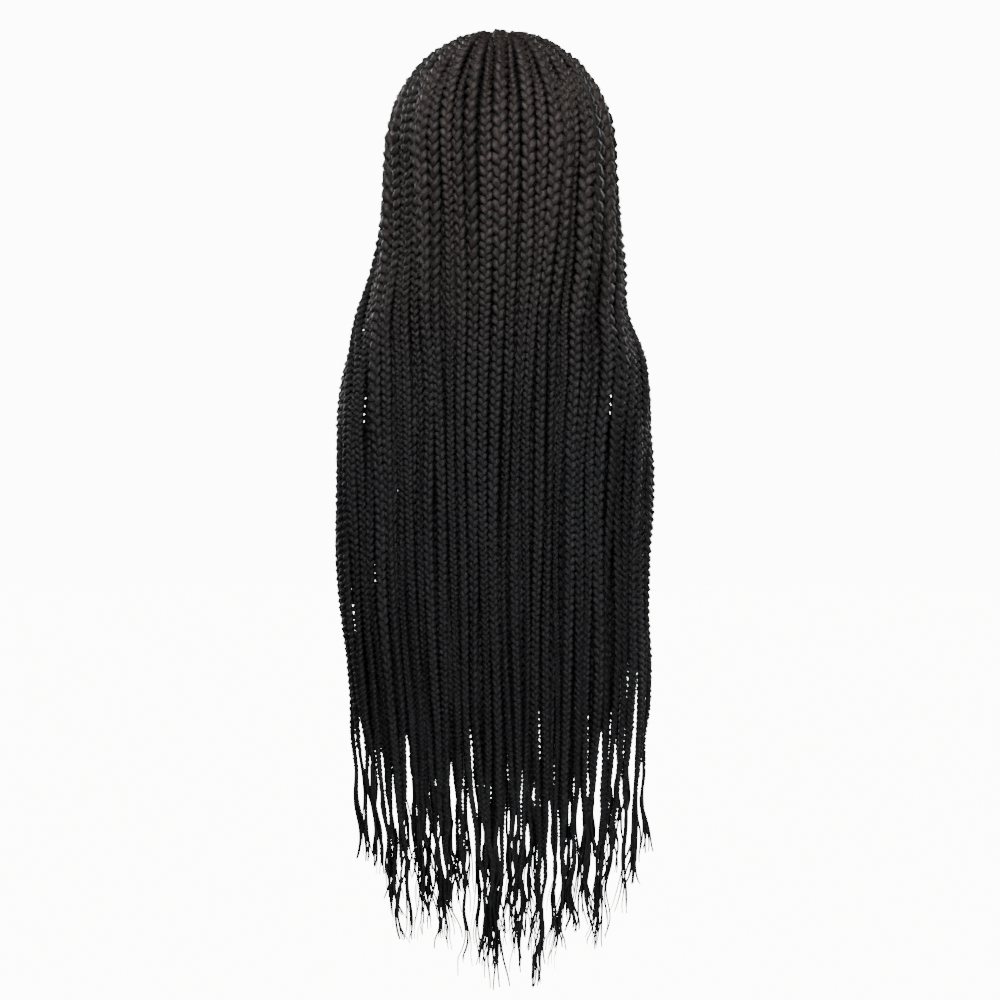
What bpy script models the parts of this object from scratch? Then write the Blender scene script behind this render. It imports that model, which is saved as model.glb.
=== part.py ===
"""A long box-braid wig in the shape it takes when worn, with its hair behind the shoulders.

Metres, +Z up. The face opening looks along -Y. The origin is the inside of the cap's top, which sits on the
crown of the head. A braid's lane is its share of the way round: 0 at the middle of the back, 1 at the left
side of the face and -1 at the right.
"""

import math
from collections import namedtuple

import bmesh
import bpy
from mathutils import Matrix, Vector

# Head that the cap fits
HEAD_BREADTH = 0.156
HEAD_LENGTH = 0.194
CROWN_HEIGHT = 0.105  # the head's widest ring up to its top

# Cap, a stretch net shell
CAP_WALL = 0.0015
CAP_SIDES = 28
CAP_RINGS = 9

# Hair round the head, out to its surface
HAIR_BREADTH = 0.225
HAIR_BACK = 0.133  # the head's middle to the back of the hair
HAIR_FRONT = 0.130  # the head's middle to the front of the hair
CROWN_PILE = 0.0150  # cap to the surface of the hair, at the top

# Hair below the head, a curtain behind the shoulders
CURTAIN_BREADTH = 0.308
CURTAIN_PILE = 0.034  # thickness of the whole curtain
HAIR_DROP = 0.911  # the origin down to the longest tip
MIDDLE_LEAN = 0.019  # share of CURTAIN_BREADTH that the middle of the back leans to the left

# Clearances
SEAT_GAP = 0.0003  # between a root and the cap
LAY_GAP = 0.0010  # between the cap and the braids that cross it, and between two layers
BRAID_GAP = 0.0007  # between two braids side by side
FAN_GAP = 0.0013  # the same where they fan out over the curve of the head

# Braids
LAYERS_DEEP = 3
OUTER_PER_SIDE = 17  # besides the one at the middle
BRAID_FLATNESS = 0.72  # thickness over width, where the layers have room for it
TIP_WIDTH = 0.0024
TIP_SIDE_RISE = 0.10  # share of the fall by which the outermost tips end higher
TIP_RAGGED = 0.11  # share of the fall over which the tips of neighbours are scattered
INNER_TIP_RISE = 0.02  # share of the fall by which the layers underneath end higher
TAIL_LENGTH = 0.150  # the stretch over which a braid thins to its tip
TAIL_BEND = 0.35  # share of the tail, from the tip, at which the tube has its last bend
ROOT_SHARE = 0.42  # a root's width, as a share of its braid's
FIRST_START = 0.03  # share of the way down the head at which the first braids leave the cap
START_STEP = 0.01  # how finely the others' start is looked for
RISE_SHARE = 0.11  # share of the same way over which a braid rises to its level
TUCK_SHARE = 0.05  # share of the same way that a later root runs low beside the braids that cover it
HEAD_STATIONS = 5  # along a braid that runs all the way down the head
OUTER_SIDES = 6  # of an outer braid's tube
LOOK_AHEAD = 0.02  # share of the head or of the fall over which a braid's direction is taken
ARC_STEPS = 48  # in which a section's curve is measured

# Parting, from the hairline back to the point that the crown's braids fan out from
FAN_ANGLE = math.radians(10)  # forward of the top of the head
HAIRLINE_ANGLE = math.radians(50)
FAN_SHARE = 0.42  # lanes up to this share start at the fan, the others along the parting
PARTING_WIDTH = 0.010
ARCH_ANGLE = math.radians(46)  # down from the top: where a braid has turned to hang straight

# Wefts, the sewn bands that carry the inner braids
BAND_END = 0.4  # of a lane, the band's length past its first and last braids' middles
BAND_HEIGHT = 0.006
BAND_WALL = 0.0012

Rim = namedtuple("Rim", "round_from_face down_from_top")
# The cap's edge, in degrees: hairline, temple, tab before the ear, over the ear, behind it, nape
CAP_RIM = [
    Rim(0, 57),
    Rim(30, 59),
    Rim(58, 74),
    Rim(80, 97),
    Rim(98, 93),
    Rim(130, 104),
    Rim(180, 121),
]

Section = namedtuple("Section", "fall spread back centre front wrap lean pile fill")
# fall: share of the way from the head's widest ring to the longest tip
# spread: share of the way from HAIR_BREADTH to CURTAIN_BREADTH
# back, centre: surface and middle of the curve, as shares of HAIR_BACK; front: its front half, of HAIR_FRONT
# wrap: degrees from the middle of the back to the outermost braid
# lean: to the left at the sides, as a share of CURTAIN_BREADTH
# pile: share of CURTAIN_PILE; fill: share of a lane that its braid fills
SECTIONS = [
    Section(0.00, 0.000, 1.00, 0.00, 1.00, 122, 0.000, 1.00, 0.98),
    Section(0.13, 0.215, 0.98, 0.06, 0.87, 113, 0.001, 0.95, 0.96),
    Section(0.20, 0.475, 0.97, 0.17, 0.77, 105, 0.025, 0.92, 0.93),
    Section(0.26, 0.835, 0.97, 0.27, 0.69, 98, 0.011, 0.90, 0.91),
    Section(0.34, 1.010, 0.99, 0.36, 0.62, 92, 0.018, 0.86, 0.88),
    Section(0.50, 0.965, 0.98, 0.38, 0.60, 90, 0.020, 0.80, 0.85),
    Section(0.70, 0.790, 0.92, 0.40, 0.60, 90, 0.002, 0.74, 0.76),
    Section(1.00, 0.350, 0.83, 0.42, 0.60, 90, 0.000, 0.60, 0.60),
]

Layer = namedtuple("Layer", "name level per_side reach start wefts_per_side sides")
# level: from 0, on the cap, to 1, at the surface; reach: share of the way round that it covers
# start: share of the way down the head at which its braids leave the cap; sides: of a braid's tube
INNER_LAYERS = [
    Layer("middle", 0.5, 15, 0.93, 0.76, 3, 5),
    Layer("nape", 0.0, 10, 0.76, 0.93, 2, 4),
]


def uneven(lane):
    """A fixed uneven number from -1 to 1 for this lane."""
    return math.sin(157.31 * lane + 15.0) * math.cos(61.7 * lane - 4.7)


def ease(share):
    share = min(max(share, 0.0), 1.0)
    return share * share * (3 - 2 * share)


def mix(a, b, share):
    return a + (b - a) * share


def read_table(table, place):
    """The table's row at this place in its first column, read smoothly between rows."""
    place = min(max(place, table[0][0]), table[-1][0])
    last = len(table) - 1
    i = max(k for k in range(last) if table[k][0] <= place)
    low, high = table[i], table[i + 1]
    before, after = table[max(i - 1, 0)], table[min(i + 2, last)]
    step = high[0] - low[0]
    share = (place - low[0]) / step
    square, cube = share * share, share**3
    values = []
    for a, b, c, d in zip(before, low, high, after):
        slope_b = (c - a) / (high[0] - before[0]) * step
        slope_c = (d - b) / (after[0] - low[0]) * step
        values.append(
            (2 * cube - 3 * square + 1) * b
            + (cube - 2 * square + share) * slope_b
            + (3 * square - 2 * cube) * c
            + (cube - square) * slope_c
        )
    return type(low)(*values)


def cap_axes():
    """Half breadth, half length and height of the cap's outside."""
    return Vector((HEAD_BREADTH / 2, HEAD_LENGTH / 2, CROWN_HEIGHT)) + Vector((1, 1, 1)) * CAP_WALL


def hair_piles(section):
    """Room for the layers at the side, the back and the front of a section."""
    cap = cap_axes()
    settled = ease(section.fall / SECTIONS[2].fall)
    head = (HAIR_BREADTH / 2 - cap.x, HAIR_BACK - cap.y, HAIR_FRONT - cap.y)
    return [mix(pile - LAY_GAP, CURTAIN_PILE * section.pile, settled) for pile in head]


def braid_thickness(section, width):
    """A braid is as thick as its width asks, or as its layer has room for."""
    layer_room = min(hair_piles(section)) / LAYERS_DEEP - LAY_GAP
    return min(width * BRAID_FLATNESS, layer_room)


def curve_axes(section, level, thickness):
    """Half breadth, back and front of the line that a layer's braids hang on, at this section."""
    outer = (
        mix(HAIR_BREADTH, CURTAIN_BREADTH, section.spread) / 2,
        (section.back - section.centre) * HAIR_BACK,
        section.front * HAIR_FRONT,
    )
    piles = hair_piles(section)
    return [size - thickness / 2 - (1 - level) * (pile - thickness) for size, pile in zip(outer, piles)]


def curve_angle(axes, wrap, lane):
    """(angle, length) on a section's curve for a lane, so that equal steps of lane are equal lengths."""
    lengths = [0.0]
    for i in range(ARC_STEPS):
        angle = (i + 0.5) / ARC_STEPS * wrap
        depth = axes[1] if angle < math.pi / 2 else axes[2]
        arc = math.hypot(axes[0] * math.cos(angle), depth * math.sin(angle)) * wrap / ARC_STEPS
        lengths.append(lengths[-1] + arc)
    wanted = abs(lane) * lengths[-1]
    i = max(k for k in range(ARC_STEPS) if lengths[k] <= wanted)
    angle = (i + (wanted - lengths[i]) / (lengths[i + 1] - lengths[i])) / ARC_STEPS * wrap
    return math.copysign(angle, lane), lengths[-1]


Station = namedtuple("Station", "point outward width thickness")


def hang_point(lane, level, thickness, fall):
    """(point, outward, length of the curve) where a lane's braid hangs at this share of the fall."""
    section = read_table(SECTIONS, fall)
    axes = curve_axes(section, level, thickness)
    angle, side_length = curve_angle(axes, math.radians(section.wrap), lane)
    depth = axes[1] if abs(angle) < math.pi / 2 else axes[2]
    middle_lean = MIDDLE_LEAN * ease(fall / 0.45) * (1 - ease((fall - 0.5) / 0.4))
    lean = mix(middle_lean, section.lean, ease(abs(lane) / 0.9))
    point = Vector(
        (
            axes[0] * math.sin(angle) + lean * CURTAIN_BREADTH,
            section.centre * HAIR_BACK + depth * math.cos(angle),
            mix(-CROWN_HEIGHT, -HAIR_DROP, fall),
        )
    )
    outward = Vector((math.sin(angle) / axes[0], math.cos(angle) / depth, 0)).normalized()
    return point, outward, side_length


def hang_station(lane, level, lane_step, fall, thinning):
    """A lane's braid at this share of the fall: as wide as its lane is, square to the way it runs."""
    section = read_table(SECTIONS, fall)
    thickness = 0.0
    for _ in range(2):
        point, outward, side_length = hang_point(lane, level, thickness, fall)
        below = hang_point(lane, level, thickness, fall + LOOK_AHEAD)[0]
        sideways = outward.cross(Vector((0, 0, 1)))
        upright = (below - point).normalized().cross(sideways).length
        width = (lane_step * side_length * upright - BRAID_GAP) * section.fill
        thickness = braid_thickness(section, width)
    return Station(point, outward, mix(TIP_WIDTH, width, thinning), mix(TIP_WIDTH, thickness, thinning))


def head_direction(lane, full, share):
    """Direction, from the middle of the head, of a lane's braid at this share of the way down the head."""
    along = min(max((abs(lane) - FAN_SHARE) / (1 - FAN_SHARE), 0.0), 1.0)
    angle = mix(FAN_ANGLE, HAIRLINE_ANGLE, along)
    aside = math.copysign(PARTING_WIDTH / 2 / CROWN_HEIGHT, lane) if lane else 0.0
    start = Vector((aside, -math.sin(angle), math.cos(angle))).normalized()
    axes = curve_axes(SECTIONS[0], 1.0, full.thickness)
    depth = axes[1] if full.point.y > 0 else axes[2]
    end = Vector((full.point.x / axes[0], full.point.y / depth, 0)).normalized()
    arch = end * math.sin(ARCH_ANGLE) + Vector((0, 0, math.cos(ARCH_ANGLE)))
    rest = 1 - share
    return (start * rest * rest + arch * 2 * share * rest + end * share * share).normalized()


def head_point(direction, level, lift, half_thickness):
    """(point, outward) at this level over the cap."""
    cap = cap_axes()
    inner = (cap.x + lift, cap.y + lift, cap.y + lift, cap.z + lift)
    outer = (
        HAIR_BREADTH / 2 - half_thickness,
        HAIR_BACK - half_thickness,
        HAIR_FRONT - half_thickness,
        CROWN_HEIGHT + CAP_WALL + CROWN_PILE - half_thickness,
    )
    radii = [mix(low, high, level) for low, high in zip(inner, outer)]
    along = radii[1] if direction.y > 0 else radii[2]
    point = Vector((direction.x * radii[0], direction.y * along, direction.z * radii[3] - CROWN_HEIGHT))
    outward = Vector((direction.x / radii[0], direction.y / along, direction.z / radii[3])).normalized()
    return point, outward


def head_station(lane, level, share, full, risen, size):
    """Where a lane's braid lies on the head, at this share of the way down it, at a size of its full size."""
    half_thickness = full.thickness * size / 2
    flat = math.cos(math.pi / OUTER_SIDES)
    lift = mix(half_thickness * flat + SEAT_GAP, half_thickness + LAY_GAP, risen)
    point, outward = head_point(head_direction(lane, full, share), level * risen, lift, half_thickness)
    return Station(point, outward, full.width * size, 2 * half_thickness)


def lane_spacing(lane, lane_step, share):
    """Distance between neighbouring lanes on the left of the head, square to the way they run."""
    full = hang_station(lane, 1.0, lane_step, 0.0, 1.0)
    full_beside = hang_station(lane + lane_step, 1.0, lane_step, 0.0, 1.0)
    here, beside, ahead = (
        head_point(head_direction(where, full_at, along), 1.0, 0.0, full.thickness / 2)[0]
        for where, full_at, along in (
            (lane, full, share),
            (lane + lane_step, full_beside, share),
            (lane, full, share + LOOK_AHEAD),
        )
    )
    return (beside - here).cross((ahead - here).normalized()).length


def size_with_room(number, lane_step, share, full):
    """How much of its full size an outer braid has room for: every fourth lane fills first, then its halves."""
    spacing = lane_spacing(max(abs(number), 1) * lane_step, lane_step, share)
    fourth = min((4 * spacing - FAN_GAP) / full.width, 1.0)
    second = min((4 * spacing - 2 * FAN_GAP) / full.width - fourth, 1.0)
    if number % 4 == 0:
        return fourth
    if number % 4 == 2:
        return second
    return min((2 * spacing - 2 * FAN_GAP) / full.width - max(fourth, second), 1.0)


def tip_fall(lane):
    """Share of the fall at which a lane's braid ends: the sides are shorter, and no two are equal."""
    return 1.0 - TIP_SIDE_RISE * abs(lane) ** 3 - TIP_RAGGED * (1 + uneven(lane)) / 2


def hanging_stations(lane, level, lane_step, tip):
    """The stations of a braid from the head's widest ring to its tip."""
    tail = TAIL_LENGTH / (HAIR_DROP - CROWN_HEIGHT)
    bend = tip - TAIL_BEND * tail
    falls = [s.fall for s in SECTIONS if s.fall < bend - TAIL_BEND * tail / 2]
    falls += [bend, tip]
    return [
        hang_station(lane, level, lane_step, fall, 0.0 if fall == tip else ease((tip - fall) / tail))
        for fall in falls
    ]


def outer_stations(number):
    """The stations of an outer braid, which leaves the cap where there is room for its root."""
    lane_step = 1 / (OUTER_PER_SIDE + 0.5)
    lane = number * lane_step
    full = hang_station(lane, 1.0, lane_step, 0.0, 1.0)
    rise = FIRST_START
    while size_with_room(number, lane_step, rise, full) < ROOT_SHARE:
        rise += START_STEP
    start = rise if number % 4 == 0 else max(rise - TUCK_SHARE, FIRST_START)
    stations = []
    count = max(3, round((1 - start) * HEAD_STATIONS))
    for i in range(count):
        share = mix(start, 1.0, i / count)
        risen = ease((share - rise) / RISE_SHARE)
        size = size_with_room(number, lane_step, share, full)
        stations.append(head_station(lane, 1.0, share, full, risen, max(size, ROOT_SHARE)))
    return stations + hanging_stations(lane, 1.0, lane_step, tip_fall(lane))


def inner_stations(layer, number):
    """The stations of the inner layer's braid of this number, counted from the middle of the back."""
    lane_step = layer.reach / layer.per_side
    lane = math.copysign((abs(number) - 0.5) * lane_step, number)
    full = hang_station(lane, layer.level, lane_step, 0.0, 1.0)
    middle = mix(layer.start, 1.0, 0.5)
    stations = [
        head_station(lane, layer.level, layer.start, full, 0.0, ROOT_SHARE),
        head_station(lane, layer.level, middle, full, 0.5, mix(ROOT_SHARE, 1.0, 0.5)),
    ]
    return stations + hanging_stations(lane, layer.level, lane_step, tip_fall(lane) - INNER_TIP_RISE)


def placed_ring(stations, i):
    """Matrix that puts a unit circle round the braid at station i, its x across and its y outward."""
    ahead, behind = stations[min(i + 1, len(stations) - 1)], stations[max(i - 1, 0)]
    outward = stations[i].outward
    across = (ahead.point - behind.point).cross(outward).normalized()
    matrix = Matrix((across, outward, outward.cross(across))).transposed().to_4x4()
    matrix.translation = stations[i].point
    return matrix @ Matrix.Diagonal((stations[i].width / 2, stations[i].thickness / 2, 1, 1))


def swept_tube(stations, sides, turn=math.pi / 2):
    """A closed tube through the stations, a corner at its edge: one ring, extruded from each to the next."""
    bm = bmesh.new()
    placed = [placed_ring(stations, i) for i in range(len(stations))]
    turned = placed[0] @ Matrix.Rotation(turn, 4, "Z")
    bmesh.ops.create_circle(bm, cap_ends=False, segments=sides, radius=1, matrix=turned)
    edges = list(bm.edges)
    bmesh.ops.contextual_create(bm, geom=edges)
    for before, now in zip(placed, placed[1:]):
        made = bmesh.ops.extrude_edge_only(bm, edges=edges)["geom"]
        ring = [g for g in made if isinstance(g, bmesh.types.BMVert)]
        edges = [g for g in made if isinstance(g, bmesh.types.BMEdge)]
        bmesh.ops.transform(bm, matrix=now @ before.inverted(), verts=ring)
    bmesh.ops.contextual_create(bm, geom=edges)
    bmesh.ops.recalc_face_normals(bm, faces=bm.faces)
    return bm


def material(name, colour, roughness):
    made = bpy.data.materials.new(name)
    made.use_nodes = True
    shader = made.node_tree.nodes["Principled BSDF"]
    shader.inputs["Base Color"].default_value = (*colour, 1)
    shader.inputs["Roughness"].default_value = roughness
    shader.inputs["Metallic"].default_value = 0.0
    return made


def object_from(bm, name, collection, finish):
    mesh = bpy.data.meshes.new(name)
    bm.to_mesh(mesh)
    bm.free()
    mesh.materials.append(finish)
    made = bpy.data.objects.new(name, mesh)
    collection.objects.link(made)
    return made


def add_cap(collection, finish):
    """The net cap: half a ball, drawn down to the rim all round, made head-shaped and given its wall."""
    bm = bmesh.new()
    bmesh.ops.create_uvsphere(bm, u_segments=CAP_SIDES, v_segments=2 * CAP_RINGS, radius=1)
    below = [v for v in bm.verts if v.co.z < -0.01]
    bmesh.ops.delete(bm, geom=below, context="VERTS")
    for vert in bm.verts:
        down_share = math.acos(min(max(vert.co.z, -1.0), 1.0)) / (math.pi / 2)
        from_face = math.degrees(math.atan2(abs(vert.co.x), -vert.co.y))
        down = math.radians(read_table(CAP_RIM, from_face).down_from_top) * down_share
        flat = Vector((vert.co.x, vert.co.y, 0))
        level = flat.normalized() * math.sin(down) if flat.length > 0.001 else Vector()
        vert.co = (
            level.x * HEAD_BREADTH / 2,
            level.y * HEAD_LENGTH / 2,
            (math.cos(down) - 1) * CROWN_HEIGHT,
        )
    cap = object_from(bm, "cap", collection, finish)
    wall = cap.modifiers.new("wall", "SOLIDIFY")
    wall.thickness = CAP_WALL
    wall.offset = 1
    return cap


def add_outer_braids(collection, finish):
    """The braids that lie on top, each a node of its own."""
    for number in range(-OUTER_PER_SIDE, OUTER_PER_SIDE + 1):
        side = "left" if number > 0 else "right"
        name = f"{side}_braid_{abs(number):02d}" if number else "centre_braid"
        object_from(swept_tube(outer_stations(number), OUTER_SIDES), name, collection, finish)


def weft_band(layer, side, first, last):
    """The band that a weft's braids are sewn to, along the cap from beside its first braid to its last."""
    lane_step = layer.reach / layer.per_side
    stations = []
    for i in range(last - first + 2):
        share = i / (last - first + 1)
        lane = side * mix(first - 0.5 - BAND_END, last - 0.5 + BAND_END, share) * lane_step
        full = hang_station(lane, layer.level, lane_step, 0.0, 1.0)
        direction = head_direction(lane, full, layer.start)
        point, outward = head_point(direction, 0.0, BAND_WALL / 2 + SEAT_GAP, 0.0)
        corner = math.sqrt(2)
        stations.append(Station(point, outward, BAND_HEIGHT * corner, BAND_WALL * corner))
    return swept_tube(stations, 4, math.pi / 4)


def add_wefts(collection, guides, finish):
    """The braids underneath, in wefts: each a band with its braids fused to it."""
    for layer in INNER_LAYERS:
        for side, side_name in ((1, "left"), (-1, "right")):
            for weft in range(layer.wefts_per_side):
                first = 1 + layer.per_side * weft // layer.wefts_per_side
                last = layer.per_side * (weft + 1) // layer.wefts_per_side
                name = f"{side_name}_{layer.name}_weft_{weft + 1}"
                band = object_from(weft_band(layer, side, first, last), name, collection, finish)
                braids = bpy.data.collections.new(f"{name}_braids")
                guides.children.link(braids)
                for number in range(first, last + 1):
                    tube = swept_tube(inner_stations(layer, side * number), layer.sides)
                    braid = object_from(tube, f"{name}_{number:02d}", braids, finish)
                    braid.hide_render = True
                    braid.display_type = "WIRE"
                join = band.modifiers.new("braids", "BOOLEAN")
                join.operation = "UNION"
                join.operand_type = "COLLECTION"
                join.collection = braids


def main():
    for leftover in list(bpy.data.objects):
        bpy.data.objects.remove(leftover)
    wig = bpy.data.collections.new("braid_wig")
    guides = bpy.data.collections.new("weft_braids")
    for collection in (wig, guides):
        bpy.context.scene.collection.children.link(collection)
    hair = material("braided_fibre", (0.016, 0.014, 0.015), 0.45)
    net = material("cap_net", (0.012, 0.012, 0.012), 0.8)
    add_cap(wig, net)
    add_outer_braids(wig, hair)
    add_wefts(wig, guides, hair)


main()
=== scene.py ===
"""The looks of a long box-braid wig: a net cap, the plaits that lie on top and the wefts underneath.

Metres, +Z up, the face opening looks along -Y. The origin is the inside of the cap's top.
"""

import math
from collections import namedtuple

import bmesh
import bpy
import numpy as np
from mathutils import Matrix, Vector


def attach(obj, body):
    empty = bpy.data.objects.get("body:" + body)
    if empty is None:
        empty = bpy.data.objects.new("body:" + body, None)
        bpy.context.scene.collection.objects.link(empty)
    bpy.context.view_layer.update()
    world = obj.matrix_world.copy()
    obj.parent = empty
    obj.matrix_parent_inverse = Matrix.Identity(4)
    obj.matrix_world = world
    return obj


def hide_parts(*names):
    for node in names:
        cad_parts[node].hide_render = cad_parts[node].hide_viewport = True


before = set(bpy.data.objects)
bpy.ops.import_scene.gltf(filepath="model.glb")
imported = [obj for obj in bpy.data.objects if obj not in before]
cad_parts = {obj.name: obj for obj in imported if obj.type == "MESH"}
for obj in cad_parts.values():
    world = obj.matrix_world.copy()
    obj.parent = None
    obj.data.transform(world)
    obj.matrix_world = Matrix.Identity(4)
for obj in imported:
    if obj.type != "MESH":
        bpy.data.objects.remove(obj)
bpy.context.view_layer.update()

# Cap
# The wig is built on a stretch net cap: black knitted nylon net with a folded hem at its edge.
# The net is fine and matt, and it is pulled smooth over the head.
HEAD_BREADTH = 0.156
HEAD_LENGTH = 0.194
CROWN_HEIGHT = 0.105  # from the head's widest level to its top
CAP_WALL = 0.0015
NET_SEGMENTS = 84
NET_RINGS = 60
BELOW_EDGE = 0.01  # of the ball's radius, under which nothing of it is kept
HEM_WALL = 0.0006  # what the folded hem adds to the wall
HEM_SHARE = 0.93  # of the way down to the edge, where the hem begins
NET_HOLE = 0.0016  # drawn coarser than the real 1 mm, so that it shows
HOLE_EDGE = (0.05, 0.22)  # from a thread's middle, in holes: where a hole begins, and is open
NET_BUMP = 0.0004
NET_DUST_SIZE = 0.011
NET_BLACK = "#141313"
NET_DUST = "#2b2928"

Rim = namedtuple("Rim", "round_from_face down_from_top")
# The cap's edge, in degrees: hairline, temple, tab before the ear, over the ear, behind it, nape
CAP_RIM = [
    Rim(0, 57),
    Rim(30, 59),
    Rim(58, 74),
    Rim(80, 97),
    Rim(98, 93),
    Rim(130, 104),
    Rim(180, 121),
]


def linear(hex_colour):
    """An sRGB hex colour as linear RGBA."""
    channels = [int(hex_colour[i : i + 2], 16) / 255 for i in (1, 3, 5)]
    return (*(c / 12.92 if c <= 0.04045 else ((c + 0.055) / 1.055) ** 2.4 for c in channels), 1.0)


def add_node(material, kind, inputs=None, links=None, stops=(), **settings):
    """A node with its settings, input values, links from other nodes' sockets, and a ramp's stops, which
    are (place, hex colour) pairs."""
    node = material.node_tree.nodes.new(kind)
    for name, value in settings.items():
        setattr(node, name, value)
    for name, value in (inputs or {}).items():
        node.inputs[name].default_value = value
    for name, socket in (links or {}).items():
        material.node_tree.links.new(socket, node.inputs[name])
    for i, (place, colour) in enumerate(stops):
        elements = node.color_ramp.elements
        stop = elements[i] if i < len(elements) else elements.new(place)
        stop.position = place
        stop.color = linear(colour)
    return node


def start_material(name):
    made = bpy.data.materials.new(name)
    made.use_nodes = True
    made.node_tree.nodes.clear()
    return made


def read_table(table, place):
    """The table's row at this place in its first column, read smoothly between rows."""
    place = min(max(place, table[0][0]), table[-1][0])
    last = len(table) - 1
    i = max(k for k in range(last) if table[k][0] <= place)
    low, high = table[i], table[i + 1]
    before, after = table[max(i - 1, 0)], table[min(i + 2, last)]
    step = high[0] - low[0]
    share = (place - low[0]) / step
    square, cube = share * share, share**3
    values = []
    for a, b, c, d in zip(before, low, high, after):
        slope_b = (c - a) / (high[0] - before[0]) * step
        slope_c = (d - b) / (after[0] - low[0]) * step
        values.append(
            (2 * cube - 3 * square + 1) * b
            + (cube - 2 * square + share) * slope_b
            + (3 * square - 2 * cube) * c
            + (cube - square) * slope_c
        )
    return type(low)(*values)


def cap_mesh():
    """Half a ball, drawn down to the rim all round and made head-shaped, its hem standing out."""
    bm = bmesh.new()
    bmesh.ops.create_uvsphere(bm, u_segments=NET_SEGMENTS, v_segments=NET_RINGS, radius=1, calc_uvs=True)
    below = [v for v in bm.verts if v.co.z < -BELOW_EDGE]
    bmesh.ops.delete(bm, geom=below, context="VERTS")
    for vert in bm.verts:
        down_share = math.acos(min(max(vert.co.z, -1.0), 1.0)) / (math.pi / 2)
        from_face = math.degrees(math.atan2(abs(vert.co.x), -vert.co.y))
        down = math.radians(read_table(CAP_RIM, from_face).down_from_top) * down_share
        flat = Vector((vert.co.x, vert.co.y, 0))
        level = flat.normalized() * math.sin(down) if flat.length > 0.001 else Vector()
        hem = HEM_WALL if down_share > HEM_SHARE else 0.0
        vert.co = (
            level.x * (HEAD_BREADTH / 2 + hem),
            level.y * (HEAD_LENGTH / 2 + hem),
            (math.cos(down) - 1) * CROWN_HEIGHT,
        )
    for face in bm.faces:
        face.smooth = True
    mesh = bpy.data.meshes.new("net_cap")
    bm.to_mesh(mesh)
    bm.free()
    return mesh


def stretch_net():
    """Knitted nylon net: small round holes between matt threads, so it breaks up light and never shines."""
    made = start_material("stretch_net")
    where = add_node(made, "ShaderNodeTexCoord").outputs["Object"]
    from_thread = add_node(
        made,
        "ShaderNodeTexVoronoi",
        {"Scale": 1 / NET_HOLE, "Randomness": 0.6},
        {"Vector": where},
        feature="DISTANCE_TO_EDGE",
    ).outputs["Distance"]
    dust = add_node(
        made, "ShaderNodeTexNoise", {"Scale": 1 / NET_DUST_SIZE, "Detail": 4.0}, {"Vector": where}
    ).outputs["Fac"]
    begins, opens = HOLE_EDGE
    hole = add_node(
        made, "ShaderNodeMapRange", {"From Min": begins, "From Max": opens}, {"Value": from_thread}
    ).outputs["Result"]
    both = add_node(made, "ShaderNodeMath", links={0: hole, 1: dust}, operation="MULTIPLY").outputs[0]
    colour = add_node(
        made, "ShaderNodeValToRGB", links={"Fac": both}, stops=((0.0, NET_DUST), (0.7, NET_BLACK))
    ).outputs["Color"]
    bump = add_node(
        made,
        "ShaderNodeBump",
        {"Strength": 0.6, "Distance": NET_BUMP},
        {"Height": hole},
        invert=True,
    ).outputs["Normal"]
    shader = add_node(
        made,
        "ShaderNodeBsdfPrincipled",
        {"Roughness": 0.85, "IOR": 1.53},
        {"Base Color": colour, "Normal": bump},
    ).outputs["BSDF"]
    add_node(made, "ShaderNodeOutputMaterial", links={"Surface": shader})
    return made


def new_piece(name, mesh, finish, nodes):
    """An object for a finished mesh, which rides on the wig and stands for the CAD nodes it replaces."""
    piece = bpy.data.objects.new(name, mesh)
    bpy.context.scene.collection.objects.link(piece)
    mesh.materials.clear()
    mesh.materials.append(finish)
    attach(piece, "root")
    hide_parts(*nodes)
    return piece


cap = new_piece("net_cap", cap_mesh(), stretch_net(), ["cap"])
wall = cap.modifiers.new("wall", "SOLIDIFY")
wall.thickness = CAP_WALL
wall.offset = 1

# Braids on top
# Thirty-five box braids of black synthetic fibre, each knotted to the cap near the parting and plaited
# from three strands. They fan out over the crown and hang side by side, and the last hand's breadth of
# each thins to a wispy, wavy end.
HAIR_BREADTH = 0.225  # outside the hair on the head, and its reach to the back and the front
HAIR_BACK = 0.133
HAIR_FRONT = 0.130
CROWN_PILE = 0.0150  # the hair's thickness on top of the head, and where it hangs
CURTAIN_PILE = 0.034
CURTAIN_BREADTH = 0.308
HAIR_DROP = 0.911
MIDDLE_LEAN = 0.019  # share of CURTAIN_BREADTH that the middle of the back leans to the left
LEAN_FULL = 0.45  # shares of the fall: where the lean is full, from where it goes, and over which it does
LEAN_GOES = 0.50
LEAN_GONE = 0.40
LEAN_SIDE = 0.9  # the lane from which the outline's own lean holds
SEAT_GAP = 0.0003
LAY_GAP = 0.0010
BRAID_GAP = 0.0007
FAN_GAP = 0.0013
LAYERS_DEEP = 3
OUTER_PER_SIDE = 17
BRAID_FLATNESS = 0.72
TIP_WIDTH = 0.0036
TIP_SIDE_RISE = 0.10
TIP_RAGGED = 0.11
FULL_TO_TIP = 0.165  # the stretch over which a braid thins to its tip
ROOT_SHARE = 0.42  # of a braid's full size: an inner braid's root, and the room a top braid rises in
FIRST_START = 0.03  # share of the way down the head at which the first roots are knotted
START_STEP = 0.01
RISE_SHARE = 0.11  # over which a root rises from the cap into its layer
LEAST_SIZE = 0.76  # of a braid's full width, where its neighbours leave it no room and it lies under them
TUCK_START = 0.06  # a root starts this share of the way from the first roots to where it has room
TUCK_LEVEL = 0.62  # how high such a root lies under the braids that cover it
TUCK_RISE = 0.03
OUTER_SIDES = 6
LOOK_AHEAD = 0.02
ARC_STEPS = 24
FAN_ANGLE = math.radians(10)
HAIRLINE_ANGLE = math.radians(50)
FAN_SHARE = 0.42  # of the lanes, which fan out from the parting's back end
PARTING_WIDTH = 0.006
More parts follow.
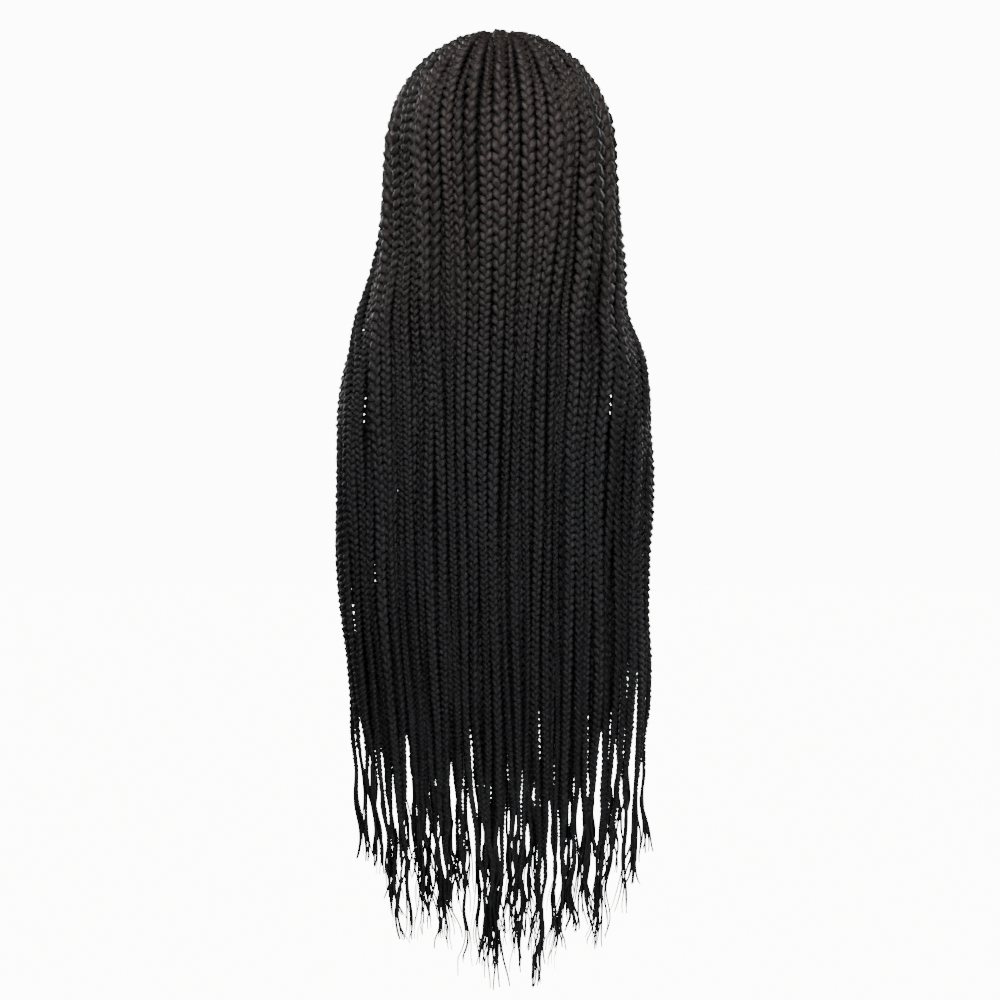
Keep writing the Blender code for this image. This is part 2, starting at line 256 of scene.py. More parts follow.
ARCH_ANGLE = math.radians(46)  # from the top, of the point that a braid arches over

Section = namedtuple("Section", "fall spread back centre front wrap lean pile fill")
# The curtain's outline at shares of the fall, as in the solids. spread goes from HAIR_BREADTH at 0 to
# CURTAIN_BREADTH at 1, back and centre are shares of HAIR_BACK and front is one of HAIR_FRONT, wrap is in
# degrees from the back, lean is a share of CURTAIN_BREADTH, pile is one of CURTAIN_PILE, and a braid's
# width is this fill of its lane.
SECTIONS = [
    Section(0.00, 0.000, 1.00, 0.00, 1.00, 122, 0.000, 1.00, 0.98),
    Section(0.13, 0.215, 0.98, 0.06, 0.87, 113, 0.001, 0.95, 0.96),
    Section(0.20, 0.475, 0.97, 0.17, 0.77, 105, 0.025, 0.92, 0.93),
    Section(0.26, 0.835, 0.97, 0.27, 0.69, 98, 0.011, 0.90, 0.91),
    Section(0.34, 1.010, 0.99, 0.36, 0.62, 92, 0.018, 0.86, 0.88),
    Section(0.50, 0.965, 0.98, 0.38, 0.60, 90, 0.020, 0.80, 0.85),
    Section(0.70, 0.790, 0.92, 0.40, 0.60, 90, 0.002, 0.74, 0.76),
    Section(1.00, 0.350, 0.83, 0.42, 0.60, 90, 0.000, 0.60, 0.60),
]

# Plaiting. Lengths are in shares of a braid's width.
TURN_LENGTH = 2.1  # along the braid, for a strand to cross over and come back
STRAND_RADIUS = 0.245
STRAND_PLUMPNESS = 0.17  # how much a strand swells where it lies on top
PLUMP_ANGLE = math.radians(125)  # of its turn, where it swells most
STRAND_SWING = 0.265  # of a strand's middle, to either side
STRAND_DEPTH = 0.17  # of a strand's middle, to the front and the back
TAPER_LENGTH = 17.0  # over which a strand's end tapers
TIP_FINENESS = 0.34  # a strand's thickness at its very end, as a share of its full one
COMING_LOOSE = 5.0  # over which the strands stop crossing
LEAST_TURN_WIDTH = 0.0042  # metres: near the tip the turns get no shorter than for this width
SWING_CHANCE = 0.04  # how much the swing differs between a braid's strands, and along one
SWING_WAVE = 0.05
SWING_RATE = (0.5, 0.9)  # radians a width
PLUMP_WAVE = 0.05  # how much a strand's thickness varies
PLUMP_RATE = 1.3
LOW_PART = (0.60, 0.20)  # the length's share past which a plait gets closer, and over which it does
LOW_SWING = 0.18  # by what share its strands swing less there, and are thicker
LOW_RADIUS = 0.10
PACE_CHANCE = 0.06  # how much the length of a turn differs between braids, and along one
PACE_WAVE = 0.07
PACE_RATE = (18, 40)  # radians a metre

# How loosely the braids hang, in metres
PATH_STEP = 0.004
PATH_SMOOTHING = 3  # steps to each side that a path is averaged over
SWAY = 0.0014
LIFT = 0.0018  # a braid's wandering out of and into its layer
SWAY_FROM = (0.10, 0.25)  # how far from its root it starts to wander, and over which length it does
SINK = 0.0065  # how deep in its layer a braid may lie
SINK_FROM = (0.09, 0.15)  # the same for its sinking, and for its width
TIP_SWAY = 0.0020
TIP_SWAY_OVER = 0.22  # the length above the tip over which it sways more
TIP_DRIFT = 0.007
TIP_DRIFT_OVER = 0.30
# Least and most length of a wave: of sway, lift, and the same two at the tip
WAVES = ((0.25, 0.50), (0.16, 0.40), (0.045, 0.10), (0.05, 0.10))
FULLNESS = 1.08  # a plait's lobes stand out past its mean width
OUTER_BULK = 1.10  # the same where the curtain is closed
SIDE_BULK = 1.28  # and at its sides, where no further layer lies behind
SIDE_FROM = (0.35, 0.30)  # the lanes' share at which the sides start, and over which they do
ON_TOP_FROM = (0.60, 0.30)  # the same for the foremost braids, which all lie on top
WIDTH_SPREAD = 0.20  # share by which a braid is wider if it lies on top, and narrower if it lies deep
WIDTH_CHANCE = 0.03
WIDTH_WAVE = 0.04
WIDTH_RATE = (60, 130)  # radians a metre
CLOSED_FROM = 0.0  # heights between which the curtain lets no light through
CLOSED_TO = -0.60
CLOSING = 0.12  # lengths over which it closes and opens
OPENING = 0.16
ROLL_CHANCE = 0.55  # radians: how much the roll about its length differs between braids, and along one
ROLL_WAVE = 0.5
ROLL_RATE = (6, 14)  # radians a metre
ROLL_OVER = 0.12  # metres from the root over which the roll sets in
PHASES = (0, 6)  # radians, for a wave's start
SAME_PLACE = 0.0005  # shares of a width within which two corners are one
STREAK_OFFSETS = (0, 5)  # metres that a braid's streaks are moved by, so that no two braids match
OUTER_SEED = 100  # for the random draws of the top braids, with a braid's number added
HEAD_SAMPLES = 14
FALL_SAMPLES = 90

# The loose end of a braid. Its length is in metres, and what follows is in shares of the braid's width.
LOOSE_END = (0.065, 0.125)  # least and most length that isn't plaited
STRAND_SHORTER = 0.25  # share of the loose end by which a strand is shorter than the one before it
SHORTER_CHANCE = (0.6, 1.2)
SIDE_SHORTER = 0.30  # the same at the curtain's sides, for all three
APART = (0.8, 0.7)  # how far the strands' ends part, across and outward
APART_CURVE = 1.4
STRAND_CURL = 0.35
CURL_RATE = (0.3, 0.6)  # radians a width
LOOSE_THINNING = 0.20
WISP_REACH = 7.0  # how far a lock may run past it, in shares of LEAST_TURN_WIDTH
SIDE_WISP_REACH = -3.0  # how far short of it one may stop at the curtain's sides
WISP_RADIUS = (0.18, 0.32)
WISP_STEPS = 22
WISP_START = 0.5  # share of the loose end within which the locks leave it
WISP_ROOT = (0.3, 0.2)  # how far from the middle a lock starts, across and outward
WISP_APART = (1.5, 1.0)
WISP_CURL = 0.30
WISP_RATE = (0.25, 0.55)  # radians a width
WISP_THINNING = 0.5

# Single fibres that stand off a plait, in shares of its width
STRAY_STEPS = 4
STRAY_LENGTH = (0.7, 1.8)
STRAY_ROOT = 0.30  # from the plait's middle
STRAY_SIDE = (0.10, 0.42)  # how far they stand off
STRAY_HEIGHT = (-0.1, 0.35)
STRAY_RISE = 0.35
STRAY_CURVE = 1.5
STRAY_RADIUS = 0.016
STRAY_THINNING = 0.010
STRAY_MARGINS = (0.5, 1.5)  # from the root and the loose end

# Painted light: the crown's colours are lighter than the lengths', as the crown is lit from above, and
# warmer; the lengths' are bluer
CROWN_DARK = "#0c0a0a"
CROWN_SOFT = "#191413"
CROWN_LIT = "#332823"
LENGTH_DARK = "#030304"
LENGTH_SOFT = "#09090b"
LENGTH_LIT = "#1a1a20"
MEAN_WIDTH = 0.009  # of a braid
FIBRE_GAP = 0.0004  # a fibre is 0.08 mm; drawn five times coarser, so that it shows
FIBRE_STREAKS = 120.0  # to a metre, as a fibre lies on top for about 8 mm
CLUMP_LENGTH = 0.005
CLUMPS_ROUND = 9.0  # bunches of fibres round a strand
CLUMP_SHARE = 0.62  # of the relief, the rest of which is single fibres
FIBRE_BUMP = 0.0016
LIT_WARM_CROWN_ENDS = (-0.10, -0.42)  # heights at which the crown's warmer black, painted lighter as lit from above, starts to go, and is gone
CREST_RISE = (0.30, 0.95)  # crest is 0 in the middle of a plait's depth and 1 on its face
SHADE = (0.20, 1.40)  # painted shade and painted highlight: what the colour is multiplied by at those two


def ease(share):
    share = min(max(share, 0.0), 1.0)
    return share * share * (3 - 2 * share)


def mix(a, b, share):
    return a + (b - a) * share


def uneven(lane):
    """A fixed uneven number from -1 to 1 for this lane."""
    return math.sin(157.31 * lane + 15.0) * math.cos(61.7 * lane - 4.7)


def cap_axes():
    """Half breadth, half length and height of the cap's outside."""
    return Vector((HEAD_BREADTH / 2, HEAD_LENGTH / 2, CROWN_HEIGHT)) + Vector((1, 1, 1)) * CAP_WALL


def hair_piles(section):
    """Room for the layers at the side, the back and the front of a section."""
    inside = cap_axes()
    settled = ease(section.fall / SECTIONS[2].fall)
    head = (HAIR_BREADTH / 2 - inside.x, HAIR_BACK - inside.y, HAIR_FRONT - inside.y)
    return [mix(pile - LAY_GAP, CURTAIN_PILE * section.pile, settled) for pile in head]


def braid_thickness(section, width):
    layer_room = min(hair_piles(section)) / LAYERS_DEEP - LAY_GAP
    return min(width * BRAID_FLATNESS, layer_room)


def curve_axes(section, level, thickness):
    """Half breadth, back and front of the line that a layer's braids hang on, at this section."""
    outer = (
        mix(HAIR_BREADTH, CURTAIN_BREADTH, section.spread) / 2,
        (section.back - section.centre) * HAIR_BACK,
        section.front * HAIR_FRONT,
    )
    piles = hair_piles(section)
    return [size - thickness / 2 - (1 - level) * (pile - thickness) for size, pile in zip(outer, piles)]


def curve_angle(axes, wrap, lane):
    """(angle, length) on a section's curve for a lane, so that equal steps of lane are equal lengths."""
    lengths = [0.0]
    for i in range(ARC_STEPS):
        angle = (i + 0.5) / ARC_STEPS * wrap
        depth = axes[1] if angle < math.pi / 2 else axes[2]
        arc = math.hypot(axes[0] * math.cos(angle), depth * math.sin(angle)) * wrap / ARC_STEPS
        lengths.append(lengths[-1] + arc)
    wanted = abs(lane) * lengths[-1]
    i = max(k for k in range(ARC_STEPS) if lengths[k] <= wanted)
    angle = (i + (wanted - lengths[i]) / (lengths[i + 1] - lengths[i])) / ARC_STEPS * wrap
    return math.copysign(angle, lane), lengths[-1]


Station = namedtuple("Station", "point outward width thickness")


def hang_point(lane, level, thickness, fall):
    """(point, outward, length of the curve) where a lane's braid hangs at this share of the fall."""
    section = read_table(SECTIONS, fall)
    axes = curve_axes(section, level, thickness)
    angle, side_length = curve_angle(axes, math.radians(section.wrap), lane)
    depth = axes[1] if abs(angle) < math.pi / 2 else axes[2]
    middle_lean = MIDDLE_LEAN * ease(fall / LEAN_FULL) * (1 - ease((fall - LEAN_GOES) / LEAN_GONE))
    lean = mix(middle_lean, section.lean, ease(abs(lane) / LEAN_SIDE))
    point = Vector(
        (
            axes[0] * math.sin(angle) + lean * CURTAIN_BREADTH,
            section.centre * HAIR_BACK + depth * math.cos(angle),
            mix(-CROWN_HEIGHT, -HAIR_DROP, fall),
        )
    )
    outward = Vector((math.sin(angle) / axes[0], math.cos(angle) / depth, 0)).normalized()
    return point, outward, side_length


def hang_station(lane, level, lane_step, fall, thinning):
    """A lane's braid at this share of the fall: as wide as its lane is, square to the way it runs."""
    section = read_table(SECTIONS, fall)
    thickness = 0.0
    for _ in range(2):
        point, outward, side_length = hang_point(lane, level, thickness, fall)
        below = hang_point(lane, level, thickness, fall + LOOK_AHEAD)[0]
        sideways = outward.cross(Vector((0, 0, 1)))
        upright = (below - point).normalized().cross(sideways).length
        width = (lane_step * side_length * upright - BRAID_GAP) * section.fill
        thickness = braid_thickness(section, width)
    return Station(point, outward, mix(TIP_WIDTH, width, thinning), mix(TIP_WIDTH, thickness, thinning))


def head_direction(lane, full, share):
    """Direction, from the middle of the head, of a lane's braid at this share of the way down the head."""
    along = min(max((abs(lane) - FAN_SHARE) / (1 - FAN_SHARE), 0.0), 1.0)
    angle = mix(FAN_ANGLE, HAIRLINE_ANGLE, along)
    aside = math.copysign(PARTING_WIDTH / 2 / CROWN_HEIGHT, lane) if lane else 0.0
    start = Vector((aside, -math.sin(angle), math.cos(angle))).normalized()
    axes = curve_axes(SECTIONS[0], 1.0, full.thickness)
    depth = axes[1] if full.point.y > 0 else axes[2]
    end = Vector((full.point.x / axes[0], full.point.y / depth, 0)).normalized()
    arch = end * math.sin(ARCH_ANGLE) + Vector((0, 0, math.cos(ARCH_ANGLE)))
    rest = 1 - share
    return (start * rest * rest + arch * 2 * share * rest + end * share * share).normalized()


def head_point(direction, level, lift, half_thickness):
    """(point, outward) at this level over the cap."""
    inside = cap_axes()
    inner = (inside.x + lift, inside.y + lift, inside.y + lift, inside.z + lift)
    outer = (
        HAIR_BREADTH / 2 - half_thickness,
        HAIR_BACK - half_thickness,
        HAIR_FRONT - half_thickness,
        CROWN_HEIGHT + CAP_WALL + CROWN_PILE - half_thickness,
    )
    radii = [mix(low, high, level) for low, high in zip(inner, outer)]
    along = radii[1] if direction.y > 0 else radii[2]
    point = Vector((direction.x * radii[0], direction.y * along, direction.z * radii[3] - CROWN_HEIGHT))
    outward = Vector((direction.x / radii[0], direction.y / along, direction.z / radii[3])).normalized()
    return point, outward


def head_station(lane, level, share, full, risen, size):
    """Where a lane's braid lies on the head, at this share of the way down it, at a size of its full size."""
    half_thickness = full.thickness * size / 2
    flat = math.cos(math.pi / OUTER_SIDES)
    lift = mix(half_thickness * flat + SEAT_GAP, half_thickness + LAY_GAP, risen)
    point, outward = head_point(head_direction(lane, full, share), level * risen, lift, half_thickness)
    return Station(point, outward, full.width * size, 2 * half_thickness)


def lane_spacing(lane, lane_step, share, full, full_beside):
    """Distance between neighbouring lanes on the left of the head, square to the way they run."""
    here, beside, ahead = (
        head_point(head_direction(where, full_at, along), 1.0, 0.0, full.thickness / 2)[0]
        for where, full_at, along in (
            (lane, full, share),
            (lane + lane_step, full_beside, share),
            (lane, full, share + LOOK_AHEAD),
        )
    )
    return (beside - here).cross((ahead - here).normalized()).length


def sizes_on_head(number, lane_step):
    """A function that gives an outer braid's size at a share of the way down the head: every fourth lane
    fills first, then its halves."""
    lane = max(abs(number), 1) * lane_step
    full_here = hang_station(lane, 1.0, lane_step, 0.0, 1.0)
    full_beside = hang_station(lane + lane_step, 1.0, lane_step, 0.0, 1.0)
    full = hang_station(number * lane_step, 1.0, lane_step, 0.0, 1.0)

    def size_at(share):
        spacing = lane_spacing(lane, lane_step, share, full_here, full_beside)
        fourth = min((4 * spacing - FAN_GAP) / full.width, 1.0)
        second = min((4 * spacing - 2 * FAN_GAP) / full.width - fourth, 1.0)
        if number % 4 == 0:
            return fourth
        if number % 4 == 2:
            return second
        return min((2 * spacing - 2 * FAN_GAP) / full.width - max(fourth, second), 1.0)

    return full, size_at


def tip_fall(lane):
    """Share of the fall at which a lane's braid ends: the sides are shorter, and no two are equal."""
    return 1.0 - TIP_SIDE_RISE * abs(lane) ** 3 - TIP_RAGGED * (1 + uneven(lane)) / 2


def hanging_stations(lane, level, lane_step, tip):
    tail = FULL_TO_TIP / (HAIR_DROP - CROWN_HEIGHT)
    falls = np.linspace(0.0, tip, FALL_SAMPLES)
    return [hang_station(lane, level, lane_step, fall, ease((tip - fall) / tail)) for fall in falls]


def outer_stations(number):
    """The stations of an outer braid, which leaves the cap where there is room for its root."""
    lane_step = 1 / (OUTER_PER_SIDE + 0.5)
    lane = number * lane_step
    full, size_at = sizes_on_head(number, lane_step)
    rise = FIRST_START
    while size_at(rise) < ROOT_SHARE:
        rise += START_STEP
    start = mix(FIRST_START, rise, TUCK_START)
    count = max(4, round((1 - start) * HEAD_SAMPLES))
    stations = []
    for share in np.linspace(start, 1.0, count, endpoint=False):
        tucked = TUCK_LEVEL * ease((share - start) / TUCK_RISE)
        risen = max(ease((share - rise) / RISE_SHARE), tucked)
        stations.append(head_station(lane, 1.0, share, full, risen, max(size_at(share), LEAST_SIZE)))
    return stations + hanging_stations(lane, 1.0, lane_step, tip_fall(lane))


Path = namedtuple("Path", "length point across outward width thickness")


def eased(shares):
    shares = np.clip(shares, 0.0, 1.0)
    return shares * shares * (3 - 2 * shares)


def ramp(places, start, over):
    """0 up to the start and 1 from this far past it, with an easy rise between."""
    return eased((places - start) / over)


def unit(rows):
    return rows / np.linalg.norm(rows, axis=1, keepdims=True)


def loose_path(stations, sink, bulk, chance):
    """The line a braid follows, in even steps: its stations, let hang as loosely as a real braid does."""
    rough = np.array([(*s.point, *s.outward, s.width, s.thickness) for s in stations])
    steps = np.linalg.norm(np.diff(rough[:, :3], axis=0), axis=1)
    places = np.concatenate(([0.0], np.cumsum(steps)))
    length = np.linspace(0.0, places[-1], int(places[-1] / PATH_STEP))
    even = np.column_stack([np.interp(length, places, column) for column in rough.T])
    padded = np.pad(even, ((PATH_SMOOTHING, PATH_SMOOTHING), (0, 0)), mode="edge")
    count = 2 * PATH_SMOOTHING + 1
    smooth = sum(padded[i : i + len(even)] for i in range(count)) / count
    smooth[0] = even[0]
    point, outward, width, thickness = smooth[:, :3], unit(smooth[:, 3:6]), smooth[:, 6], smooth[:, 7]
    across = unit(np.cross(np.gradient(point, axis=0), outward))
    from_end = length[-1] - length
    free = ramp(length, *SWAY_FROM)
    tail = eased(1 - from_end / TIP_SWAY_OVER)
    waves = [chance.uniform(low, high) for low, high in WAVES]
    phases = chance.uniform(0, 2 * math.pi, 4)
    side, lift, tip_side, tip_lift = (
        np.sin(2 * math.pi * length / wave + phase) for wave, phase in zip(waves, phases)
    )
    drift = chance.normal(0, 1) * eased(1 - from_end / TIP_DRIFT_OVER) ** 2 * TIP_DRIFT
    depth = chance.uniform(0.0, 1.0)
    point = point + across * (free * SWAY * side + tail * TIP_SWAY * tip_side + drift)[:, None]
    sunk = ramp(length, *SINK_FROM) * (1 - tail) * sink * depth
    point = point + outward * (free * LIFT * lift - sunk + tail * TIP_SWAY * tip_lift)[:, None]
    below = -point[:, 2]
    closed = ramp(below, -CLOSED_FROM, CLOSING) * (1 - ramp(below, -CLOSED_TO, OPENING))
    size = mix(FULLNESS, bulk, closed)
    spread = WIDTH_SPREAD * ramp(length, *SINK_FROM) * (1 - 2 * depth) * (sink / SINK)
    size = size * (1 + spread + WIDTH_CHANCE * chance.normal(0, 1))
    size = size * (1 + WIDTH_WAVE * np.sin(length * chance.uniform(*WIDTH_RATE) + chance.uniform(*PHASES)))
    return Path(length, point, across, outward, width * size, thickness * size)


def tubes_mesh(name, runs, roundness):
    """Closed round tubes along runs of (x, y, z, radius) rows, as one mesh with a UV map."""
    curve = bpy.data.curves.new(name, "CURVE")
    curve.dimensions = "3D"
    curve.bevel_depth = 1.0
    curve.bevel_resolution = roundness
    curve.use_fill_caps = True
    curve.twist_mode = "Z_UP"
    for run in runs:
        spline = curve.splines.new("POLY")
        spline.points.add(len(run) - 1)
        spline.points.foreach_set("co", np.column_stack((run[:, :3], np.ones(len(run)))).ravel())
        spline.points.foreach_set("radius", run[:, 3].copy())
    holder = bpy.data.objects.new(name, curve)
    bpy.context.scene.collection.objects.link(holder)
    mesh = bpy.data.meshes.new_from_object(holder.evaluated_get(bpy.context.evaluated_depsgraph_get()))
    bpy.data.objects.remove(holder)
    bpy.data.curves.remove(curve)
    return mesh


def strand_runs(path, sideways, chance, steps_per_turn):
    """The three strands of a straight plait one unit wide, how many units along it each place on the path
    is, and where its loose end begins. sideways is 0 in the middle of the curtain and 1 at its edge."""
    hand = np.sin(path.length * chance.uniform(*PACE_RATE) + chance.uniform(*PHASES))
    pace = 1 + PACE_CHANCE * chance.normal(0, 1) + PACE_WAVE * hand
    turn_width = np.maximum(path.width, LEAST_TURN_WIDTH) * pace
    along = np.concatenate(([0.0], np.cumsum(np.diff(path.length) / turn_width[1:])))
    loose_from = np.interp(path.length[-1] - chance.uniform(*LOOSE_END), path.length, along)
    start_angle = chance.uniform(0, 2 * math.pi)
    runs = []
    for strand in range(3):
        short = SIDE_SHORTER * sideways + STRAND_SHORTER * strand * chance.uniform(*SHORTER_CHANCE)
        end = along[-1] - short * (along[-1] - loose_from)
        x = np.linspace(0.0, end, int(end / TURN_LENGTH * steps_per_turn))
        angle = 2 * math.pi * (x / TURN_LENGTH + strand / 3) + start_angle
        loose = eased((x - loose_from) / (along[-1] - loose_from))
        low = ramp(x / along[-1], *LOW_PART)
        swing = 1 - LOW_SWING * low + chance.normal(0, SWING_CHANCE)
        swing = swing + SWING_WAVE * np.sin(x * chance.uniform(*SWING_RATE) + strand)
        plaited = 1 - ramp(x, loose_from, COMING_LOOSE)
        curl = loose * np.sin(x * chance.uniform(*CURL_RATE) + chance.uniform(*PHASES)) * STRAND_CURL
        parting = loose**APART_CURVE
        y = STRAND_SWING * swing * np.sin(angle) * plaited + parting * chance.normal(0, APART[0]) + curl
        z = -STRAND_DEPTH * np.sin(2 * angle) * plaited + parting * chance.normal(0, APART[1])
        plump = 1 + STRAND_PLUMPNESS * np.cos(2 * (angle - PLUMP_ANGLE)) * plaited
        plump += PLUMP_WAVE * np.sin(x * PLUMP_RATE + chance.uniform(*PHASES))
        taper = mix(TIP_FINENESS, 1, ramp(end - x, 0, TAPER_LENGTH))
        radius = STRAND_RADIUS * plump * (1 + LOW_RADIUS * low) * (1 - LOOSE_THINNING * loose) * taper
        runs.append(np.column_stack((x, y, z, radius)))
    return runs, along, loose_from


def stray_runs(reach, count, chance):
    """Short single fibres that stand off the plait."""
    from_root, from_end = STRAY_MARGINS
    share = np.linspace(0.0, 1.0, STRAY_STEPS)
    off = share**STRAY_CURVE
    runs = []
    for start in chance.uniform(from_root, reach - from_end, count):
        side = chance.choice((-1.0, 1.0))
        x = start + share * chance.uniform(*STRAY_LENGTH)
        y = side * (STRAY_ROOT + off * chance.uniform(*STRAY_SIDE))
        z = chance.uniform(*STRAY_HEIGHT) + off * chance.uniform(0.0, STRAY_RISE)
        runs.append(np.column_stack((x, y, z, STRAY_RADIUS - STRAY_THINNING * share)))
    return runs


def wisp_runs(loose_from, end, sideways, count, chance):
    """Long thin locks that leave the loose end, cross each other and run past it."""
    reach = mix(WISP_REACH, SIDE_WISP_REACH, sideways)
    root, root_out = WISP_ROOT
    apart, apart_out = WISP_APART
    share = np.linspace(0.0, 1.0, WISP_STEPS)
    near, far = 1 - share, share**APART_CURVE
    runs = []
    for _ in range(count):
        start = chance.uniform(loose_from, mix(loose_from, end, WISP_START))
        x = np.linspace(start, end + chance.uniform(min(reach, -1.0), max(reach, 0.0)), WISP_STEPS)
        wave, wave_out = chance.uniform(*WISP_RATE, 2)
        phase, phase_out = chance.uniform(0, 2 * math.pi, 2)
        y = chance.uniform(-root, root) * near + chance.normal(0, apart) * far
        z = chance.uniform(-root_out, root_out) * near + chance.normal(0, apart_out) * far
        y += WISP_CURL * share * np.sin(x * wave + phase)
        z += WISP_CURL * share * np.sin(x * wave_out + phase_out)
        radius = chance.uniform(*WISP_RADIUS) * (1 - WISP_THINNING * share**2)
        runs.append(np.column_stack((x, y, z, radius)))
    return runs


def hang_mesh(mesh, path, along, chance):
    """Bends a straight plait on to its path: x runs along it, y across it and z outward."""
    turned = bmesh.new()
    turned.from_mesh(mesh)
    bmesh.ops.remove_doubles(turned, verts=turned.verts, dist=SAME_PLACE)
    for face in turned.faces:
        face.smooth = True
    turned.to_mesh(mesh)
    turned.free()
    co = np.empty(len(mesh.vertices) * 3)
    mesh.vertices.foreach_get("co", co)
    x, y, z = co.reshape(-1, 3).T
    length = np.interp(x, along, path.length)
    # Past the path's ends the plait runs straight on
    beyond = np.where(x < 0, x, np.maximum(x - along[-1], 0.0)) * LEAST_TURN_WIDTH
    rows = np.column_stack((path.point, path.across, path.outward, path.width, path.thickness))
    at = np.column_stack([np.interp(length, path.length, column) for column in rows.T])
    point, across, outward, width, thickness = at[:, :3], at[:, 3:6], at[:, 6:9], at[:, 9], at[:, 10]
    roll = chance.normal(0, ROLL_CHANCE)
    roll = roll + ROLL_WAVE * np.sin(length * chance.uniform(*ROLL_RATE) + chance.uniform(*PHASES))
    roll *= ramp(length, 0.0, ROLL_OVER)
    side, out = y * width, z * thickness / BRAID_FLATNESS
    turned_side = side * np.cos(roll) - out * np.sin(roll)
    turned_out = side * np.sin(roll) + out * np.cos(roll)
    down = np.cross(across, outward)
    placed = point + across * turned_side[:, None] + outward * turned_out[:, None] - down * beyond[:, None]
    mesh.vertices.foreach_set("co", placed.ravel())
    # crest drives the fibre's painted shade and painted highlight: 0 in the plait's middle plane and 1 on its
    # faces
    crest = np.abs(z) / (STRAND_DEPTH + STRAND_RADIUS)
    mesh.attributes.new("crest", "FLOAT", "POINT").data.foreach_set("value", crest.astype(np.float32))
    corners = np.empty(len(mesh.loops), dtype=np.int32)
    mesh.loops.foreach_get("vertex_index", corners)
    grid = np.empty(len(mesh.loops) * 2)
    mesh.uv_layers[0].data.foreach_get("uv", grid)
    grid = grid.reshape(-1, 2)
    grid[:, 0] = length[corners] + chance.uniform(*STREAK_OFFSETS)
    mesh.uv_layers[0].data.foreach_set("uv", grid.ravel())
    mesh.update()


def plait_mesh(name, stations, sink, bulk, seed, roundness, steps_per_turn, strays, wisps):
    """A three-strand plait along its stations, with stray fibres and a wispy end."""
    chance = np.random.default_rng(seed)
    path = loose_path(stations, sink, bulk, chance)
    sideways = min(abs(path.point[-1, 0]) / (CURTAIN_BREADTH / 2), 1.0)
    runs, along, loose_from = strand_runs(path, sideways, chance, steps_per_turn)
    mesh = tubes_mesh(name, runs, roundness)
    locks = wisp_runs(loose_from, along[-1], sideways, wisps, chance)
    fine = tubes_mesh(name + "_fine", stray_runs(loose_from, strays, chance) + locks, 0)
    both = bmesh.new()
    both.from_mesh(mesh)
    both.from_mesh(fine)
    both.to_mesh(mesh)
    both.free()
    bpy.data.meshes.remove(fine)
    hang_mesh(mesh, path, along, chance)
    return mesh


def braiding_fibre():
    """Matt-finished synthetic hair, drawn out along the strands: fine streaks, and a soft long highlight. Its
    colour carries painted shade down between the strands, a painted highlight on their crests, and painted
    light that makes the crown lighter.
    """
    made = start_material("braiding_fibre")
    spread = add_node(made, "ShaderNodeUVMap").outputs["UV"]
    fibres_round = 2 * math.pi * STRAND_RADIUS * MEAN_WIDTH / FIBRE_GAP
    stretched = add_node(
        made, "ShaderNodeMapping", {"Scale": (FIBRE_STREAKS, fibres_round, 1.0)}, {"Vector": spread}
    ).outputs["Vector"]
    fibres = add_node(
        made, "ShaderNodeTexNoise", {"Scale": 1.0, "Detail": 3.0, "Roughness": 0.6}, {"Vector": stretched}
    ).outputs["Fac"]
    gathered = add_node(
        made, "ShaderNodeMapping", {"Scale": (1 / CLUMP_LENGTH, CLUMPS_ROUND, 1.0)}, {"Vector": spread}
    ).outputs["Vector"]
    clumps = add_node(
        made, "ShaderNodeTexNoise", {"Scale": 1.0, "Detail": 2.0, "Roughness": 0.5}, {"Vector": gathered}
    ).outputs["Fac"]
    where = add_node(made, "ShaderNodeTexCoord").outputs["Object"]
    relief = add_node(
        made, "ShaderNodeMix", {0: CLUMP_SHARE}, {2: fibres, 3: clumps}, data_type="FLOAT"
    ).outputs[0]
    crown, lengths = (
        add_node(
            made,
            "ShaderNodeValToRGB",
            links={"Fac": relief},
            stops=((0.36, dark), (0.49, soft), (0.62, lit)),
        ).outputs["Color"]
        for dark, soft, lit in ((CROWN_DARK, CROWN_SOFT, CROWN_LIT), (LENGTH_DARK, LENGTH_SOFT, LENGTH_LIT))
    )
    # Painted light: up towards the crown the colour turns to the crown's lighter, warmer ramp, as if lit from
    # above
    height = add_node(made, "ShaderNodeSeparateXYZ", links={"Vector": where}).outputs["Z"]
    down = add_node(
        made,
        "ShaderNodeMapRange",
        {"From Min": LIT_WARM_CROWN_ENDS[0], "From Max": LIT_WARM_CROWN_ENDS[1]},
        {"Value": height},
        interpolation_type="SMOOTHSTEP",
    ).outputs["Result"]
    colour = add_node(
        made, "ShaderNodeMix", links={0: down, 6: crown, 7: lengths}, data_type="RGBA"
    ).outputs[2]
    # Painted shade and painted highlight: the colour is darkened down between the strands, where little light
    # reaches, and lightened on their crests
    crest = add_node(made, "ShaderNodeAttribute", attribute_name="crest").outputs["Fac"]
    shade = add_node(
        made,
        "ShaderNodeMapRange",
        {"From Min": CREST_RISE[0], "From Max": CREST_RISE[1], "To Min": SHADE[0], "To Max": SHADE[1]},
        {"Value": crest},
    ).outputs["Result"]
    shaded = add_node(
        made, "ShaderNodeVectorMath", links={0: colour, "Scale": shade}, operation="SCALE"
    ).outputs["Vector"]
    gloss = add_node(
        made,
        "ShaderNodeMapRange",
        {"From Min": 0.3, "From Max": 0.7, "To Min": 0.46, "To Max": 0.66},
        {"Value": fibres},
    ).outputs["Result"]
    bump = add_node(
        made, "ShaderNodeBump", {"Strength": 1.0, "Distance": FIBRE_BUMP}, {"Height": relief}
    ).outputs["Normal"]
    shader = add_node(
        made,
        "ShaderNodeBsdfPrincipled",
        {"IOR": 1.5, "Specular IOR Level": 0.35},
        {"Base Color": shaded, "Roughness": gloss, "Normal": bump},
    ).outputs["BSDF"]
    add_node(made, "ShaderNodeOutputMaterial", links={"Surface": shader})
    return made


